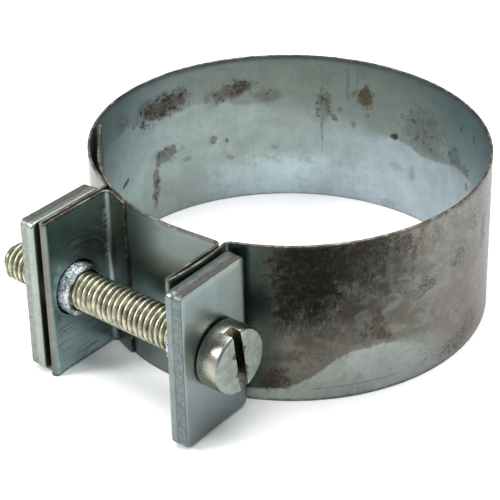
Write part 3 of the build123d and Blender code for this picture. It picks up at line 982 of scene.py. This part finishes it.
def edge_material():
    """Sheared edge of the strip: rubbed bright in places, brown in others."""
    m = StripShader("zinc_strip_edge", 77.0)
    m.colour = m.mix(m.band(m.blotch, 0.42, 0.62), (0.12, 0.1, 0.075), (0.36, 0.35, 0.3))
    m.paint((0.07, 0.055, 0.04), m.band(m.speck, 0.5, 0.62), 0.8)
    relief = m.math("ADD", m.times(m.grain, 0.8), m.blotch)
    return m.finish(m.band(m.grain, 0.25, 0.75, 0.34, 0.46), relief, 0.03)


def shade(colour, share):
    return [c * share for c in colour]


def plate_material(name, tone, facing, rim):
    """Punched plate: satin faces, a smooth sheared rim, a grainy torn rim and a bright rough collar."""
    m = Shader(name)
    where = m.place_mm()
    shear, torn, collar = m.split(m.map("zone_map"))
    _, y, z = m.split(where)
    cloud = m.noise(where, 0.16, 4.0, 0.6)
    blotch = m.noise(where, 0.7, 5.0, 0.65)
    grain = m.noise(where, 3.2, 4.0, 0.6)
    speck = m.noise(where, 1.6, 6.0, 0.78)
    m.colour = m.mix(m.band(cloud, 0.35, 0.65), shade(tone, 0.92), shade(tone, 1.12))
    m.paint(facing, m.band(blotch, 0.52, 0.72), 0.4)
    m.paint((0.07, 0.06, 0.05), m.band(speck, 0.66, 0.74), 0.6)
    # painted shade: the plate's faces darker towards the bottom
    m.paint(shade(tone, 0.4), m.band(z, 2, -12, 0.0, 0.45))
    m.paint(shade(facing, 1.45), m.band(y, SCREW_Y + 1, SCREW_Y + 6), m.band(z, 2, 9), 0.6)
    smooth = m.mix(m.band(blotch, 0.3, 0.7), shade(tone, rim * 0.95), shade(tone, rim * 1.15))
    rough = m.mix(m.band(speck, 0.36, 0.62), shade(tone, rim * 0.6), shade(tone, rim * 1.05))
    rough = m.mix(m.times(m.band(z, 11.6, 12.2), 0.6), rough, (0.13, 0.11, 0.085))
    bright = m.mix(m.band(speck, 0.36, 0.58), (0.13, 0.155, 0.165), (0.72, 0.78, 0.8))
    m.paint(smooth, m.band(shear, 0.3, 0.9))
    m.paint(rough, m.band(torn, 0.4, 0.9))
    m.paint(bright, m.band(collar, 0.3, 0.9))
    worn = m.times(m.band(torn, 0.05, 0.35), m.band(torn, 0.95, 0.6))
    rub = m.times(m.band(shear, 0.05, 0.35), m.band(shear, 0.98, 0.6))
    m.paint((0.07, 0.05, 0.035), worn, m.band(speck, 0.3, 0.55), 0.9)
    m.paint((0.16, 0.12, 0.085), rub, m.band(speck, 0.4, 0.6), 0.6)
    roughness = m.math("ADD", m.band(grain, 0.25, 0.75, 0.27, 0.4), m.times(torn, 0.12))
    roughness = m.math("SUBTRACT", roughness, m.times(collar, 0.14))
    relief = m.math("ADD", m.times(grain, m.math("MULTIPLY_ADD", torn, 1.2, 0.3)), m.times(blotch, 0.8))
    relief = m.math("ADD", relief, m.times(speck, collar, 7.0))
    return m.finish(roughness, relief, 0.025)


def screw_material():
    """Yellow-passivated thread, lighter on its crests (partly rubbed zinc, partly painted highlight) with painted
    shade in its roots, and a greyer, scuffed head.
    """
    m = Shader("yellow_zinc_screw")
    where = m.place_mm()
    along_x, height, threaded = m.split(m.map("screw_map"))
    _, y, z = m.split(where)
    blotch = m.noise(where, 0.8, 5.0, 0.65)
    grain = m.noise(where, 3.5, 4.0, 0.6)
    speck = m.noise(where, 1.8, 6.0, 0.78)
    patchy = m.band(blotch, 0.35, 0.65)
    # thread colour by height: dark roots are painted shade in the grooves, lighter crests partly rubbed zinc and
    # partly painted highlight
    root = m.mix(patchy, (0.075, 0.07, 0.045), (0.19, 0.18, 0.125))
    crest = m.mix(patchy, (0.27, 0.265, 0.175), (0.66, 0.65, 0.5))
    cut = m.mix(m.band(height, 0.22, 0.75), root, crest)
    m.colour = m.mix(patchy, (0.2, 0.225, 0.2), (0.28, 0.315, 0.28))
    m.paint((0.07, 0.065, 0.05), m.band(speck, 0.63, 0.72), 0.7)
    flank = m.band(along_x, HEAD_X + HEAD_H - 0.3, HEAD_X + HEAD_H - 0.7)
    radius = m.length(m.node("CombineXYZ", {0: m.math("SUBTRACT", y, SCREW_Y), 1: z}).outputs[0])
    m.paint((0.42, 0.39, 0.33), flank, m.band(blotch, 0.3, 0.6, 0.5, 0.95))
    # painted shade: near-black inside the slot and under the head, behind the face and near the axis; it also falls
    # on the shank's plain tip
    m.paint((0.05, 0.055, 0.046), flank, m.band(radius, HEAD_R - 0.5, HEAD_R - 2.4), 0.9)
    m.paint(cut, threaded)
    roughness = m.math("ADD", m.band(grain, 0.25, 0.75, 0.22, 0.34), m.times(m.band(speck, 0.5, 0.7), 0.1))
    roughness = m.math("MULTIPLY_ADD", threaded, 0.06, roughness)
    relief = m.math("ADD", m.times(grain, 0.3), m.times(blotch, m.math("MULTIPLY_ADD", threaded, 3.6, 0.25)))
    return m.finish(roughness, relief, 0.03)


zinc_plate_left = plate_material("zinc_plate_left", (0.31, 0.345, 0.31), (0.36, 0.37, 0.31), 1.0)
zinc_plate_right = plate_material("zinc_plate_right", (0.255, 0.315, 0.31), (0.32, 0.34, 0.29), 0.72)
zinc_screw = screw_material()


def dress(obj, materials):
    obj.data.materials.clear()
    for material in materials:
        obj.data.materials.append(material)


def face_sides(obj):
    """Gives the strip's inward faces material 0, its outward faces 1 and its sheared edges 2."""
    maps = obj.data.attributes["strip_map"].data
    for face in obj.data.polygons:
        side = sum(maps[v].vector[2] for v in face.vertices) / len(face.vertices)
        face.material_index = 0 if side > 0.95 else 1 if side < -0.95 else 2


strip_finish = [inward_material(), outward_material(), edge_material()]
for strip in (strip_right, strip_left):
    dress(strip, strip_finish)
    face_sides(strip)
    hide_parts("band_strip")
dress(plate_left, [zinc_plate_left])
dress(plate_right, [zinc_plate_right])
for part in (screw_head, screw_shank):
    dress(part, [zinc_screw])

# --- motion ---
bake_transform(strip_right)
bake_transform(strip_left)
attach(plate_left, "nut")
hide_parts("nut_plate")
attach(plate_right, "band")
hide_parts("head_plate")
for part in (screw_head, screw_shank):
    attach(part, "screw")
    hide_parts("clamp_screw")

# --- floor, light and camera ---
CAMERA_AT = (0.1615, -0.1997, 0.1506)
CAMERA_AZIMUTH = radians(40.51)
CAMERA_ELEVATION = radians(31.29)
CAMERA_ROLL = -0.0234
LENS = 139.57

floor_mesh = bpy.data.meshes.new("floor")
floor_z = -BAND_W / 2 * MM
floor_mesh.from_pydata([(-2, -2, floor_z), (2, -2, floor_z), (2, 2, floor_z), (-2, 2, floor_z)], [], [(0, 1, 2, 3)])
floor = new_object("floor", floor_mesh)
floor_shader = Shader("floor_white")
floor_shader.bsdf.inputs["Base Color"].default_value = (0.93, 0.93, 0.93, 1)
floor_shader.bsdf.inputs["Roughness"].default_value = 0.9
floor_mesh.materials.append(floor_shader.material)

world = bpy.data.worlds.new("studio")
world.use_nodes = True
world.node_tree.nodes["Background"].inputs["Color"].default_value = (0.93, 0.97, 1.0, 1)
world.node_tree.nodes["Background"].inputs["Strength"].default_value = 0.63
bpy.context.scene.world = world


def soft_light(name, place_at, size, power):
    data = bpy.data.lights.new(name, "AREA")
    data.shape = "DISK"
    data.size = size
    data.energy = power
    light = new_object(name, data)
    light.location = place_at
    light.rotation_euler = (-Vector(place_at)).to_track_quat("-Z", "Y").to_euler()


soft_light("key", (-0.6, -0.75, 0.62), 0.4, 11)
soft_light("overhead", (0.05, 0.1, 1.0), 1.1, 15)

camera_data = bpy.data.cameras.new("camera")
camera_data.sensor_width = 36
camera_data.lens = LENS
camera = new_object("camera", camera_data)
back = Vector((
    sin(CAMERA_AZIMUTH) * cos(CAMERA_ELEVATION),
    -cos(CAMERA_AZIMUTH) * cos(CAMERA_ELEVATION),
    sin(CAMERA_ELEVATION),
))
level = Vector((cos(CAMERA_AZIMUTH), sin(CAMERA_AZIMUTH), 0))
upright = back.cross(level)
across = cos(CAMERA_ROLL) * level + sin(CAMERA_ROLL) * upright
above = -sin(CAMERA_ROLL) * level + cos(CAMERA_ROLL) * upright
turned = Matrix((across, above, back)).transposed().to_4x4()
camera.matrix_world = Matrix.Translation(CAMERA_AT) @ turned
bpy.context.scene.camera = camera
bpy.context.scene.view_settings.view_transform = "Standard"
